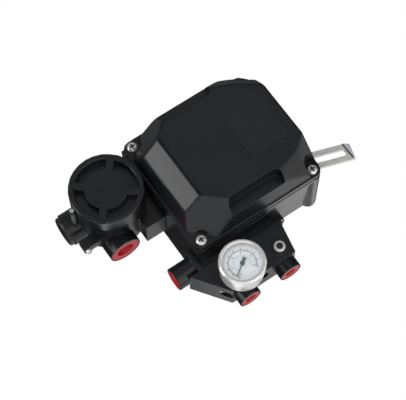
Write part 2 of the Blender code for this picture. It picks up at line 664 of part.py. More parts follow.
def add_terminal_box():
    x, z = TERMINAL_X, TERMINAL_Z
    shoulder = TERMINAL_FRONT
    housing = turned("terminal_housing", (
        (0, TERMINAL_DEPTH + SPIGOT_LENGTH), (SPIGOT_RADIUS, TERMINAL_DEPTH + SPIGOT_LENGTH),
        (SPIGOT_RADIUS, TERMINAL_DEPTH), (TERMINAL_RADIUS, TERMINAL_DEPTH), (TERMINAL_RADIUS, 4 * MM),
        (TERMINAL_RADIUS - 4 * MM, 0), (0, 0)), (x, TERMINAL_BACK, z), (0, -1, 0), "black_paint", steps=28)
    neck = box("terminal_neck", (NECK_LEFT, NECK_FRONT, NECK_LOW), (-BODY_LEFT - GAP, NECK_BACK, NECK_HIGH))
    left_boss = rod("left_conduit", (x - TERMINAL_BORE, CONDUIT_Y, LEFT_CONDUIT_Z),
                    (LEFT_CONDUIT_END, CONDUIT_Y, LEFT_CONDUIT_Z), CONDUIT_RADIUS, sides=20)
    lower_boss = rod("lower_conduit", (LOWER_CONDUIT_X, CONDUIT_Y, z - TERMINAL_BORE + 2 * MM),
                     (LOWER_CONDUIT_X, CONDUIT_Y, LOWER_CONDUIT_END), CONDUIT_RADIUS, sides=20)
    lug = box("earth_lug", (LUG_LEFT, LUG_FRONT, LUG_LOW), (LUG_RIGHT, LUG_FRONT + LUG_THICK, LUG_HIGH))
    lock_x = x - LID_RADIUS - GAP - LOCK_RADIUS
    lock_seat = shoulder - LOCK_HEIGHT
    lock_boss = rod("lock_boss", (lock_x, lock_seat, z), (lock_x, shoulder + LOCK_FOOT, z), LOCK_RADIUS + LOCK_WALL,
                    sides=16)
    cut(lock_boss, rod("lid_clearance", (x, lock_seat - DEEP, z), (x, shoulder - GAP, z), LID_RADIUS + GAP, sides=48))
    join(housing, neck, left_boss, lower_boss, lug, lock_boss)
    ground_x = LUG_LEFT + GROUND_REACH
    ground_y = LUG_FRONT + LUG_THICK / 2
    cut(housing,
        rod("terminal_bore", (x, TERMINAL_BACK - TERMINAL_FLOOR, z), (x, shoulder - 3 * DEEP, z), TERMINAL_BORE,
            sides=20),
        rod("left_thread", (x, CONDUIT_Y, LEFT_CONDUIT_Z), (LEFT_CONDUIT_END - DEEP, CONDUIT_Y, LEFT_CONDUIT_Z),
            CONDUIT_BORE),
        rod("left_plug_seat", (LEFT_CONDUIT_END + PLUG_SEAT, CONDUIT_Y, LEFT_CONDUIT_Z),
            (LEFT_CONDUIT_END - DEEP, CONDUIT_Y, LEFT_CONDUIT_Z), CONDUIT_RADIUS - CONDUIT_RIM, sides=20),
        rod("lower_thread", (LOWER_CONDUIT_X, CONDUIT_Y, z),
            (LOWER_CONDUIT_X, CONDUIT_Y, LOWER_CONDUIT_END - DEEP), CONDUIT_BORE),
        rod("lower_plug_seat", (LOWER_CONDUIT_X, CONDUIT_Y, LOWER_CONDUIT_END + PLUG_SEAT),
            (LOWER_CONDUIT_X, CONDUIT_Y, LOWER_CONDUIT_END - DEEP), CONDUIT_RADIUS - CONDUIT_RIM, sides=20),
        rod("wire_bore_neck", (x, CONDUIT_Y, z), (-BODY_LEFT + DEEP, CONDUIT_Y, z), WIRE_BORE, sides=20),
        rod("lock_hole", (lock_x, lock_seat - DEEP, z), (lock_x, lock_seat + 8 * MM, z), LOCK_RADIUS + 0.2 * MM,
            sides=16),
        rod("ground_hole", (ground_x, ground_y, LUG_LOW - DEEP), (ground_x, ground_y, LUG_LOW + 8 * MM),
            GROUND_RADIUS + 0.2 * MM, sides=16))

    lock = turned("lid_lock_screw", ((0, 1.5 * MM), (LOCK_RADIUS, 1.5 * MM), (LOCK_RADIUS, -7 * MM), (0, -7 * MM)),
                  (lock_x, lock_seat, z), (0, -1, 0), "zinc_steel", steps=16)
    cut(lock, plate("lock_socket", regular(6, 0.6 * LOCK_RADIUS, lock_x, z), lock_seat - DEEP, lock_seat + 0.5 * MM))
    ground = pan_screw("ground_screw", (ground_x, ground_y, LUG_LOW - GAP), (0, 0, -1), GROUND_RADIUS,
                       1.5 * GROUND_RADIUS, 2.6 * MM, 7 * MM, "zinc_steel")

    head_radius = CONDUIT_RADIUS - CONDUIT_RIM - GAP
    seat = LEFT_CONDUIT_END + PLUG_SEAT - GAP
    top = PLUG_SEAT - GAP + BLANKING_HEAD
    blanking = turned("conduit_blanking_plug", (
        (0, top), (head_radius - 1 * MM, top), (head_radius, top - 1 * MM), (head_radius, 0),
        (CONDUIT_BORE - GAP, 0), (CONDUIT_BORE - GAP, -10 * MM), (0, -10 * MM)),
        (seat, CONDUIT_Y, LEFT_CONDUIT_Z), (-1, 0, 0), "black_plastic", steps=24)
    cut(blanking, box("blanking_slot", (seat - top - DEEP, CONDUIT_Y - 8 * MM, LEFT_CONDUIT_Z - 1 * MM),
                      (seat - top + 1.5 * MM, CONDUIT_Y + 8 * MM, LEFT_CONDUIT_Z + 1 * MM)))
    dust = cap_plug("conduit_dust_plug", (LOWER_CONDUIT_X, CONDUIT_Y, LOWER_CONDUIT_END + PLUG_SEAT - GAP),
                    (0, 0, -1), head_radius, CONDUIT_BORE - GAP, 10 * MM, 24)

    floor = TERMINAL_BACK - TERMINAL_FLOOR
    block_front = floor - GAP - BLOCK_HEIGHT
    block = box("terminal_block", (x - BLOCK_HALF, block_front, z - BLOCK_WIDTH / 2),
                (x + BLOCK_HALF, floor - GAP, z + BLOCK_WIDTH / 2), "black_plastic")
    clamps = []
    for number in range(3):
        clamp_x = x + (number - 1) * BLOCK_PITCH
        cut(block, rod(f"clamp_hole_{number + 1}", (clamp_x, block_front - DEEP, z), (clamp_x, block_front + 6 * MM, z),
                       3 * MM, sides=16),
            box(f"wire_entry_{number + 1}", (clamp_x - 2.5 * MM, block_front + 7 * MM, z - BLOCK_WIDTH),
                (clamp_x + 2.5 * MM, block_front + 11 * MM, z - BLOCK_WIDTH / 4)))
        clamps.append(turned(f"terminal_screw_{number + 1}", (
            (0, 4 * MM), (2.6 * MM, 4 * MM), (2.6 * MM, 0), (0, 0)), (clamp_x, block_front + 6 * MM - GAP, z),
            (0, -1, 0), "zinc_steel", steps=16))
    return housing, lock, ground, blanking, dust, block, clamps


def cap_plug(name, seat, direction, flange_radius, shank_radius, shank, steps=16):
    """Push-in plug with a hollow middle; the direction points out of the port."""
    return turned(name, (
        (0, PLUG_FLANGE - 3.2 * MM), (shank_radius - 2.4 * MM, PLUG_FLANGE - 3.2 * MM),
        (shank_radius - 1.4 * MM, PLUG_FLANGE), (flange_radius, PLUG_FLANGE), (flange_radius, 0),
        (shank_radius, 0), (shank_radius - 0.6 * MM, -shank), (0, -shank)), seat, direction, "red_plastic",
        steps=steps)


def add_lid(turning, sliding):
    x, z = TERMINAL_X, TERMINAL_Z
    shoulder = TERMINAL_FRONT
    seat = shoulder - 2 * GAP
    inner = LID_RADIUS - LID_RING_WIDTH
    hub = LID_HEIGHT - LID_HUB_DROP
    lid = turned("terminal_lid", (
        (0, hub), (inner, hub), (inner, LID_HEIGHT - 0.6 * MM), (inner + 0.6 * MM, LID_HEIGHT),
        (LID_RADIUS - 1 * MM, LID_HEIGHT), (LID_RADIUS, LID_HEIGHT - 1 * MM), (LID_RADIUS, 0),
        (SPIGOT_RADIUS + 2.4 * O_RING_WIRE, 0), (SPIGOT_RADIUS + 2.4 * O_RING_WIRE, 2.6 * O_RING_WIRE),
        (SPIGOT_RADIUS + GAP, 2.6 * O_RING_WIRE), (SPIGOT_RADIUS + GAP, SPIGOT_LENGTH + 0.4 * MM),
        (0, SPIGOT_LENGTH + 0.4 * MM)), (x, seat, z), (0, -1, 0), "black_paint", steps=28)
    slot = turned("lid_slot_ring", (
        (LID_HUB_RADIUS, LID_HEIGHT + DEEP), (inner - GAP / 3, LID_HEIGHT + DEEP),
        (inner - GAP / 3, LID_HEIGHT - LID_SLOT_DEPTH), (LID_HUB_RADIUS, LID_HEIGHT - LID_SLOT_DEPTH)),
        (x, seat, z), (0, -1, 0), closed=True, steps=28)
    for number in range(4):
        spoke = box(f"lid_spoke_{number + 1}", (0, -LID_HEIGHT - 2 * DEEP, -LID_SPOKE_WIDTH / 2),
                    (LID_RADIUS, LID_HEIGHT, LID_SPOKE_WIDTH / 2))
        angle = math.radians(LID_SPOKE_TURN + 90 * number)
        spoke.location = (x + LID_RADIUS / 2 * math.cos(angle), seat - LID_HEIGHT, z + LID_RADIUS / 2 * math.sin(angle))
        spoke.rotation_euler = (0, -angle, 0)
        cut(slot, spoke)
    cut(lid, slot)
    for number in range(2):
        channel = box(f"lid_channel_{number + 1}", (-2 * LID_RADIUS, -DEEP, -LID_SPOKE_WIDTH / 2),
                      (2 * LID_RADIUS, DEEP, LID_SPOKE_WIDTH / 2))
        channel.location = (x, seat - hub - DEEP, z)
        channel.rotation_euler = (0, -math.radians(LID_SPOKE_TURN + 90 * number), 0)
        cut(lid, channel)
    o_ring = turned("lid_o_ring", [(SPIGOT_RADIUS + 1.2 * O_RING_WIRE + radius, height)
                                   for radius, height in reversed(regular(6, O_RING_WIRE))],
                    (x, shoulder - O_RING_WIRE - GAP / 2, z), (0, -1, 0), "rubber", closed=True, steps=28)
    carried_by(turning, o_ring)
    carried_by(sliding, lid)
    return lid, o_ring


def add_manifold():
    gasket_top = MANIFOLD_TOP - GAP / 3
    top = gasket_top - GASKET_THICK - GAP / 3
    side_low = SIDE_PORT_Z - PORT_RADIUS
    outline = [(MANIFOLD_RIGHT, top), (-BODY_LEFT - GAP, top), (-BODY_LEFT - GAP, SIDE_PORT_Z + 1.1 * PORT_RADIUS),
               (MANIFOLD_LEFT, SIDE_PORT_Z + 1.1 * PORT_RADIUS), (MANIFOLD_LEFT, side_low + 1 * MM),
               (MANIFOLD_SLOPE_X, side_low + 1 * MM), (MANIFOLD_FOOT[0], MANIFOLD_BOTTOM),
               (MANIFOLD_FOOT[1], MANIFOLD_BOTTOM)]
    block = plate("manifold_block", outline, MANIFOLD_FRONT, MANIFOLD_BACK, "black_paint")
    join(block, rod("side_port", (-BODY_LEFT - 2 * GAP, PORT_Y, SIDE_PORT_Z), (SIDE_PORT_END, PORT_Y, SIDE_PORT_Z),
                    PORT_RADIUS, sides=20),
         rod("left_port", (PORT_LEFT_X, PORT_Y, MANIFOLD_BOTTOM + 5 * MM), (PORT_LEFT_X, PORT_Y, PORT_LOWER_END),
             PORT_RADIUS, sides=20),
         rod("right_port", (PORT_RIGHT_X, PORT_Y, MANIFOLD_BOTTOM + 5 * MM), (PORT_RIGHT_X, PORT_Y, PORT_LOWER_END),
             PORT_RADIUS, sides=20),
         rod("hex_plug_boss", (HEX_PLUG_X, MANIFOLD_FRONT + 2 * MM, HEX_PLUG_Z),
             (HEX_PLUG_X, MANIFOLD_FRONT - HEX_BOSS_HEIGHT, HEX_PLUG_Z), 7.5 * MM, sides=20))
    cut(block, rod("side_port_bore", (SIDE_PORT_END - DEEP, PORT_Y, SIDE_PORT_Z),
                   (SIDE_PORT_END + PORT_BORE_DEPTH, PORT_Y, SIDE_PORT_Z), PORT_BORE, sides=16),
        rod("side_plug_seat", (SIDE_PORT_END - DEEP, PORT_Y, SIDE_PORT_Z),
            (SIDE_PORT_END + PLUG_SEAT, PORT_Y, SIDE_PORT_Z), PORT_RADIUS - PORT_RIM),
        rod("gauge_bore", (GAUGE_X, MANIFOLD_FRONT - DEEP, GAUGE_Z), (GAUGE_X, MANIFOLD_FRONT + 7 * MM, GAUGE_Z),
            STEM_RADIUS + 0.2 * MM, sides=16),
        rod("hex_plug_bore", (HEX_PLUG_X, MANIFOLD_FRONT - DEEP, HEX_PLUG_Z),
            (HEX_PLUG_X, MANIFOLD_FRONT + 5 * MM, HEX_PLUG_Z), 4 * MM, sides=16))
    gasket = box("manifold_gasket", (PEDESTAL_LEFT, PEDESTAL_FRONT, gasket_top - GASKET_THICK),
                 (PEDESTAL_RIGHT, PEDESTAL_BACK, gasket_top), "rubber")
    flange_radius = PORT_RADIUS - PORT_RIM - GAP
    plugs = [cap_plug("port_plug_1", (SIDE_PORT_END + PLUG_SEAT - GAP, PORT_Y, SIDE_PORT_Z), (-1, 0, 0),
                      flange_radius, PORT_BORE - GAP, 9 * MM)]
    for number, x in enumerate((PORT_LEFT_X, PORT_RIGHT_X), 1):
        cut(block, rod(f"port_bore_{number}", (x, PORT_Y, PORT_LOWER_END - DEEP),
                       (x, PORT_Y, PORT_LOWER_END + PORT_BORE_DEPTH), PORT_BORE, sides=16),
            rod(f"plug_seat_{number}", (x, PORT_Y, PORT_LOWER_END - DEEP),
                (x, PORT_Y, PORT_LOWER_END + PLUG_SEAT), PORT_RADIUS - PORT_RIM),
            rod(f"port_passage_{number}", (x, PORT_Y, PORT_LOWER_END), (x, PORT_Y, MANIFOLD_TOP + DEEP),
                PASSAGE_RADIUS, sides=10))
        cut(gasket, rod(f"gasket_passage_{number}", (x, PORT_Y, MANIFOLD_TOP - DEEP), (x, PORT_Y, MANIFOLD_TOP + DEEP),
                        PASSAGE_RADIUS + 0.6 * MM, sides=10))
        plugs.append(cap_plug(f"port_plug_{number + 1}", (x, PORT_Y, PORT_LOWER_END + PLUG_SEAT - GAP),
                              (0, 0, -1), flange_radius, PORT_BORE - GAP, 9 * MM))
    screws = []
    seat = MANIFOLD_BOTTOM + 12 * MM
    for number, x in enumerate(MANIFOLD_SCREW_X, 1):
        cut(block, rod(f"manifold_hole_{number}", (x, PORT_Y, MANIFOLD_BOTTOM - DEEP), (x, PORT_Y, MANIFOLD_TOP + DEEP),
                       M5_HOLE + GAP, sides=12),
            rod(f"manifold_sink_{number}", (x, PORT_Y, MANIFOLD_BOTTOM - DEEP), (x, PORT_Y, seat),
                M5_HEAD_RADIUS + GAP, sides=16))
        cut(gasket, rod(f"gasket_screw_hole_{number}", (x, PORT_Y, MANIFOLD_TOP - DEEP),
                        (x, PORT_Y, MANIFOLD_TOP + DEEP), M5_HOLE + 2 * GAP, sides=12))
        screws.append(pan_screw(f"manifold_screw_{number}", (x, PORT_Y, seat - GAP), (0, 0, -1), M5_RADIUS,
                                M5_HEAD_RADIUS, M5_HEAD_HEIGHT, MANIFOLD_TOP - seat + 8 * MM, "zinc_steel"))
    hex_plug = turned("manifold_hex_plug", (
        (0, 2.6 * MM), (4.4 * MM, 2.6 * MM), (5 * MM, 2 * MM), (5 * MM, 0), (3.7 * MM, 0), (3.7 * MM, -4 * MM),
        (0, -4 * MM)), (HEX_PLUG_X, MANIFOLD_FRONT - HEX_BOSS_HEIGHT - GAP, HEX_PLUG_Z), (0, -1, 0), "zinc_steel",
        steps=16)
    cut(hex_plug, plate("hex_plug_socket", regular(6, 3.2 * MM, HEX_PLUG_X, HEX_PLUG_Z, 15),
                        MANIFOLD_FRONT - DEEP, MANIFOLD_FRONT - 1.6 * MM))
    return block, gasket, plugs, screws, hex_plug


def add_gauge(pointer_axis):
    front = GAUGE_FRONT
    back = MANIFOLD_FRONT - GAP
    depth = back - front
    centre = (GAUGE_X, back, GAUGE_Z)
    lens_seat = depth - 1.6 * MM
    dial_seat = lens_seat - LENS_THICK - GAP - 2.4 * MM
    case_top = dial_seat - DIAL_THICK - GAP
    stem_top = CASE_WALL + 5.9 * MM
    frame_low = stem_top + GAP
    case = turned("gauge_case", (
        (STEM_RADIUS + 1.4 * MM, CASE_WALL), (CASE_RADIUS - CASE_WALL - 1.5 * MM, CASE_WALL),
        (CASE_RADIUS - CASE_WALL, CASE_WALL + 2 * MM), (CASE_RADIUS - CASE_WALL, case_top - 1 * MM),
        (CASE_RADIUS - CASE_WALL, case_top), (CASE_RADIUS, case_top), (CASE_RADIUS, 2.6 * MM),
        (CASE_RADIUS - 0.8 * MM, 0.8 * MM), (CASE_RADIUS - 2.6 * MM, 0), (STEM_RADIUS + 1.4 * MM, 0)),
        centre, (0, -1, 0), "stainless", closed=True, steps=24)
    bezel = turned("gauge_bezel", (
        (BEZEL_OPENING, depth - 0.5 * MM), (BEZEL_OPENING + 0.8 * MM, depth), (BEZEL_RADIUS - 1.4 * MM, depth - 0.2 * MM),
        (BEZEL_RADIUS - 0.3 * MM, depth - 1.4 * MM), (BEZEL_RADIUS, depth - 2.6 * MM), (BEZEL_RADIUS, depth - BEZEL_DEPTH + 0.6 * MM),
        (BEZEL_RADIUS - 0.6 * MM, depth - BEZEL_DEPTH), (CASE_RADIUS + GAP, depth - BEZEL_DEPTH),
        (CASE_RADIUS + GAP, lens_seat + GAP / 3), (BEZEL_OPENING, lens_seat + GAP / 3)),
        centre, (0, -1, 0), "stainless", closed=True, steps=28)
    lens = rod("gauge_lens", (GAUGE_X, back - lens_seat, GAUGE_Z), (GAUGE_X, back - lens_seat + LENS_THICK, GAUGE_Z),
               CASE_RADIUS, "glass", sides=24)
    dial = turned("gauge_dial", (
        (1.2 * MM, dial_seat), (CASE_RADIUS - 0.2 * MM, dial_seat), (CASE_RADIUS - 0.2 * MM, dial_seat - DIAL_THICK),
        (1.2 * MM, dial_seat - DIAL_THICK)), centre, (0, -1, 0), "dial_white", closed=True)
    pointer_y = back - dial_seat - 1.1 * MM
    pointer = rod("gauge_pointer", (GAUGE_X, pointer_y - 0.6 * MM, GAUGE_Z), (GAUGE_X, back - frame_low - 0.2 * MM, GAUGE_Z),
                  0.8 * MM, "black_plastic", sides=12)
    angle = math.radians(POINTER_TURN)
    tip = [(13 * MM, -0.25 * MM), (13 * MM, 0.25 * MM), (0, 0.5 * MM), (-4.2 * MM, 1 * MM), (-4.2 * MM, -1 * MM),
           (0, -0.5 * MM)]
    needle = plate("pointer_needle", [(GAUGE_X + a * math.cos(angle) - b * math.sin(angle),
                                       GAUGE_Z + a * math.sin(angle) + b * math.cos(angle)) for a, b in tip],
                   pointer_y - 0.25 * MM, pointer_y + 0.25 * MM)
    hub = rod("pointer_hub", (GAUGE_X, pointer_y - 0.7 * MM, GAUGE_Z), (GAUGE_X, pointer_y + 0.4 * MM, GAUGE_Z), 2 * MM,
              sides=20)
    join(pointer, needle, hub)
    stem = turned("gauge_stem", (
        (0, stem_top), (3 * MM, stem_top), (3 * MM, CASE_WALL + GAP + 2 * MM), (STEM_RADIUS + 3 * MM, CASE_WALL + GAP + 2 * MM),
        (STEM_RADIUS + 3 * MM, CASE_WALL + GAP), (STEM_RADIUS, CASE_WALL + GAP), (STEM_RADIUS, -6 * MM), (0, -6 * MM)),
        centre, (0, -1, 0), "brass", steps=16)
    tube_y = back - 4.6 * MM - CASE_WALL
    tube = [(GAUGE_X + 3.4 * MM, tube_y, GAUGE_Z - 4 * MM)]
    for step in range(16):
        turn = math.radians(-60 + 280 * step / 15)
        tube.append((GAUGE_X + 12 * MM * math.cos(turn), tube_y, GAUGE_Z + 12 * MM * math.sin(turn)))
    bourdon = wire("bourdon_tube", tube, 1.2 * MM, "brass")
    movement = turned("gauge_movement", (
        (1.1 * MM, frame_low + 1.4 * MM), (6 * MM, frame_low + 1.4 * MM), (6 * MM, frame_low), (1.1 * MM, frame_low)),
        centre, (0, -1, 0), "brass", closed=True, steps=12)
    carried_by(pointer_axis, pointer)
    return case, bezel, lens, dial, pointer, stem, bourdon, movement


def add_shaft(axis):
    """Main shaft with the lever behind the body and the span arm inside it, on the lever's turned axis."""
    bore = SHAFT_RADIUS + RUNNING
    flange_top = BUSHING_SUNK + BUSHING_FLANGE_THICK
    bushing = turned("shaft_bushing", (
        (bore, SHAFT_BOSS_LENGTH + 0.5 * MM), (BUSHING_RADIUS, SHAFT_BOSS_LENGTH + 0.5 * MM),
        (BUSHING_RADIUS, flange_top), (BUSHING_FLANGE, flange_top), (BUSHING_FLANGE, BUSHING_SUNK),
        (bore, BUSHING_SUNK)), (0, 0, 0), (0, -1, 0), "brass", closed=True)
    clip_front = SHAFT_BOSS_LENGTH + 0.8 * MM
    nose = -MECHANISM_Y + ARM_THICK / 2
    lever_front = LEVER_BACK - LEVER_THICK
    washer_back = LEVER_BACK + GAP + 1.5 * MM
    thread_end = washer_back + GAP + NUT_HEIGHT + 2 * MM
    groove = 0.6 * MM
    shaft = turned("main_shaft", (
        (0, nose + 3 * MM), (SHAFT_RADIUS - 2 * MM, nose + 3 * MM), (SHAFT_RADIUS - 2 * MM, nose - ARM_THICK - GAP),
        (SHAFT_RADIUS, nose - ARM_THICK - GAP), (SHAFT_RADIUS, clip_front + 1.2 * MM),
        (SHAFT_RADIUS - groove, clip_front + 1.2 * MM), (SHAFT_RADIUS - groove, clip_front - 0.1 * MM),
        (SHAFT_RADIUS, clip_front - 0.1 * MM), (SHAFT_RADIUS, GAP - lever_front), (SHAFT_THREAD, GAP - lever_front),
        (SHAFT_THREAD, 0.8 * MM - thread_end), (SHAFT_THREAD - 0.8 * MM, -thread_end), (0, -thread_end)),
        (0, 0, 0), (0, -1, 0), "stainless", axis)
    clip = turned("shaft_clip", (
        (SHAFT_RADIUS - groove + 0.1 * MM, clip_front + 1 * MM), (SHAFT_RADIUS + 2.6 * MM, clip_front + 1 * MM),
        (SHAFT_RADIUS + 2.6 * MM, clip_front), (SHAFT_RADIUS - groove + 0.1 * MM, clip_front)),
        (0, 0, 0), (0, -1, 0), "zinc_steel", axis, closed=True, steps=16)

    half = LEVER_WIDTH / 2
    end_cut = 6 * MM
    outline = [(LEVER_REACH, -half), (LEVER_REACH, half - end_cut), (LEVER_REACH - end_cut, half)]
    outline += [(half * math.cos(math.radians(turn)), half * math.sin(math.radians(turn))) for turn in range(90, 271, 15)]
    lever = plate("feedback_lever", outline, lever_front, LEVER_BACK, "stainless", axis)
    slot_start, slot_end, slot_width = LEVER_SLOT
    cut(lever, rod("lever_bore", (0, lever_front - DEEP, 0), (0, LEVER_BACK + DEEP, 0), SHAFT_THREAD + 0.1 * MM,
                   parent=axis),
        plate("lever_slot", rounded(slot_start, slot_end, -slot_width / 2, slot_width / 2, slot_width / 2 - GAP),
              lever_front - DEEP, LEVER_BACK + DEEP, parent=axis))
    washer = turned("lever_washer", (
        (SHAFT_THREAD + 0.2 * MM, -LEVER_BACK - GAP), (7.8 * MM, -LEVER_BACK - GAP), (7.8 * MM, -washer_back),
        (SHAFT_THREAD + 0.2 * MM, -washer_back)), (0, 0, 0), (0, -1, 0), "zinc_steel", axis, closed=True, steps=16)
    nut_front = washer_back + GAP
    nut = plate("lever_nut", regular(6, NUT_FLATS / math.sqrt(3)), nut_front, nut_front + NUT_HEIGHT, "zinc_steel", axis)
    cut(nut, rod("nut_bore", (0, nut_front - DEEP, 0), (0, nut_front + NUT_HEIGHT + DEEP, 0), SHAFT_THREAD + 0.1 * MM,
                 parent=axis))

    arm_front = MECHANISM_Y - ARM_THICK / 2
    arm_half = 4 * MM
    arm = plate("span_arm", rounded(-ARM_LENGTH - arm_half, SHAFT_RADIUS + 2 * MM, -arm_half, arm_half, arm_half - GAP),
                arm_front, arm_front + ARM_THICK, "aluminium", axis)
    join(arm, rod("arm_hub", (0, arm_front - 0.4 * MM, 0), (0, arm_front + ARM_THICK - 0.1 * MM, 0), 9 * MM, parent=axis))
    cut(arm, rod("arm_bore", (0, arm_front - DEEP, 0), (0, arm_front + ARM_THICK + DEEP, 0), SHAFT_RADIUS - 1.9 * MM,
                 parent=axis),
        rod("arm_hook_hole", (-ARM_LENGTH, arm_front - DEEP, 0), (-ARM_LENGTH, arm_front + ARM_THICK + DEEP, 0),
            1.2 * MM, parent=axis, sides=16))
    return shaft, bushing, clip, lever, washer, nut, arm


def add_base_plate():
    front, back = PLATE_FRONT, PLATE_FRONT + PLATE_THICK
    base = box("base_plate", (PLATE_LEFT, front, CENTRE_Z - PLATE_HALF_HEIGHT),
               (PLATE_RIGHT, back, CENTRE_Z + PLATE_HALF_HEIGHT), "aluminium")
    join(base, box("zero_tab", (ZERO_X - 5 * MM, MECHANISM_Y - 5 * MM, ZERO_TAB_Z),
                   (ZERO_X + 5 * MM, front + PLATE_THICK / 2, ZERO_TAB_Z + PLATE_THICK)))
    cut(base, rod("plate_shaft_hole", (0, front - DEEP / 2, 0), (0, back + DEEP, 0), SHAFT_BOSS_RADIUS + 0.5 * MM),
        rod("zero_thread", (ZERO_X, MECHANISM_Y, ZERO_TAB_Z - DEEP), (ZERO_X, MECHANISM_Y, ZERO_TAB_Z + DEEP),
            ZERO_SCREW_RADIUS + 0.1 * MM, sides=20))
    screws = []
    for number, (x, z) in enumerate(plate_screw_places(), 1):
        cut(base, rod(f"base_screw_hole_{number}", (x, front - DEEP, z), (x, back + DEEP, z),
                      PLATE_SCREW_RADIUS + GAP, sides=16))
        screws.append(pan_screw(f"plate_screw_{number}", (x, front - GAP, z), (0, -1, 0), PLATE_SCREW_RADIUS,
                                2.1 * PLATE_SCREW_RADIUS, 2.2 * MM, 7 * MM, "zinc_steel"))
    return base, screws


def add_balance(beam_axis, zero_axis):
    """Balance beam with its moving coil, magnet, nozzle, range spring and zero screw."""
    low, high = BEAM_Z - BEAM_HALF, BEAM_Z + BEAM_HALF
    base_face = PLATE_FRONT - GAP
    beam = box("balance_beam", (BEAM_LEFT, MECHANISM_Y - 3 * MM, low), (COIL_X + 5 * MM, MECHANISM_Y + 3 * MM, high),
               "aluminium")
    pin = rod("beam_pin", (BEAM_PIVOT_X, MECHANISM_Y - 3.5 * MM, BEAM_Z), (BEAM_PIVOT_X, PLATE_FRONT - 4 * MM, BEAM_Z),
              1.5 * MM, sides=20)
    join(beam, pin)
    pivot = box("beam_pivot_bracket", (BEAM_PIVOT_X - 5 * MM, MECHANISM_Y + 3 * MM + GAP, BEAM_Z - 5 * MM),
                (BEAM_PIVOT_X + 5 * MM, base_face, BEAM_Z + 2.8 * MM), "dark_steel")
    cut(pivot, rod("pivot_bore", (BEAM_PIVOT_X, MECHANISM_Y, BEAM_Z), (BEAM_PIVOT_X, PLATE_FRONT - 3 * MM, BEAM_Z),
                   1.5 * MM + RUNNING, sides=20))
    coil_top = low - GAP
    coil = turned("moving_coil", (
        (0, 0), (COIL_RADIUS, 0), (COIL_RADIUS, -13 * MM), (COIL_INNER, -13 * MM), (COIL_INNER, -1.6 * MM),
        (0, -1.6 * MM)), (COIL_X, MECHANISM_Y, coil_top), (0, 0, 1), "copper", steps=16)
    yoke_top = coil_top - 4 * MM
    groove_in, groove_out = YOKE_GROOVE
    yoke = turned("magnet_yoke", (
        (0, 0), (groove_in, 0), (groove_in, -12 * MM), (groove_out, -12 * MM), (groove_out, 0), (YOKE_RADIUS, 0),
        (YOKE_RADIUS, -YOKE_HEIGHT), (0, -YOKE_HEIGHT)), (COIL_X, MECHANISM_Y, yoke_top), (0, 0, 1), "dark_steel",
        steps=16)
    join(yoke, box("yoke_foot", (COIL_X - 8 * MM, MECHANISM_Y + 9.8 * MM, yoke_top - YOKE_HEIGHT + 0.5 * MM),
                   (COIL_X + 6 * MM, base_face, yoke_top - 2 * MM)))
    nozzle_top = low - NOZZLE_GAP
    block_top = nozzle_top - 9 * MM
    nozzle_block = box("nozzle_block", (NOZZLE_X - 5 * MM, MECHANISM_Y - 5 * MM, block_top - 16 * MM),
                       (NOZZLE_X + 5 * MM, base_face, block_top), "aluminium")
    nozzle = turned("nozzle", (
        (0.6 * MM, 9 * MM), (1.4 * MM, 9 * MM), (NOZZLE_RADIUS, 6 * MM), (NOZZLE_RADIUS, GAP), (1.8 * MM, GAP),
        (1.8 * MM, -5 * MM), (0.6 * MM, -5 * MM)), (NOZZLE_X, MECHANISM_Y, block_top), (0, 0, 1), "brass",
        closed=True, steps=14)
    cut(nozzle_block, rod("nozzle_hole", (NOZZLE_X, MECHANISM_Y, block_top - 6 * MM),
                          (NOZZLE_X, MECHANISM_Y, block_top + DEEP), 2 * MM, sides=14))
    turn = math.radians(LEVER_TURN)
    hook_x = -ARM_LENGTH * math.cos(turn)
    hook_z = ARM_LENGTH * math.sin(turn)
    spring = wire("range_spring", coil_points(hook_x, MECHANISM_Y, hook_z + 5 * MM, low - 1 * MM, SPRING_RADIUS, 7),
                  0.45 * MM, "stainless")
    screw_top = ZERO_TAB_Z + PLATE_THICK + 3 * MM
    zero_screw = turned("zero_screw", (
        (0, 0), (ZERO_SCREW_RADIUS, 0), (ZERO_SCREW_RADIUS, ZERO_TAB_Z - screw_top - 0.3 * MM),
        (ZERO_KNOB_RADIUS, ZERO_TAB_Z - screw_top - 0.3 * MM), (ZERO_KNOB_RADIUS, ZERO_TAB_Z - screw_top - 8 * MM),
        (0, ZERO_TAB_Z - screw_top - 8 * MM)), (ZERO_X, MECHANISM_Y, screw_top), (0, 0, 1), "brass", steps=20)
    zero_spring = wire("zero_spring", coil_points(ZERO_X, MECHANISM_Y, screw_top + 0.8 * MM, low - 0.9 * MM,
                                                  SPRING_RADIUS - 0.8 * MM, 5), 0.4 * MM, "stainless")
    carried_by(beam_axis, beam, coil)
    carried_by(zero_axis, zero_screw)
    return beam, pivot, coil, yoke, nozzle_block, nozzle, spring, zero_screw, zero_spring


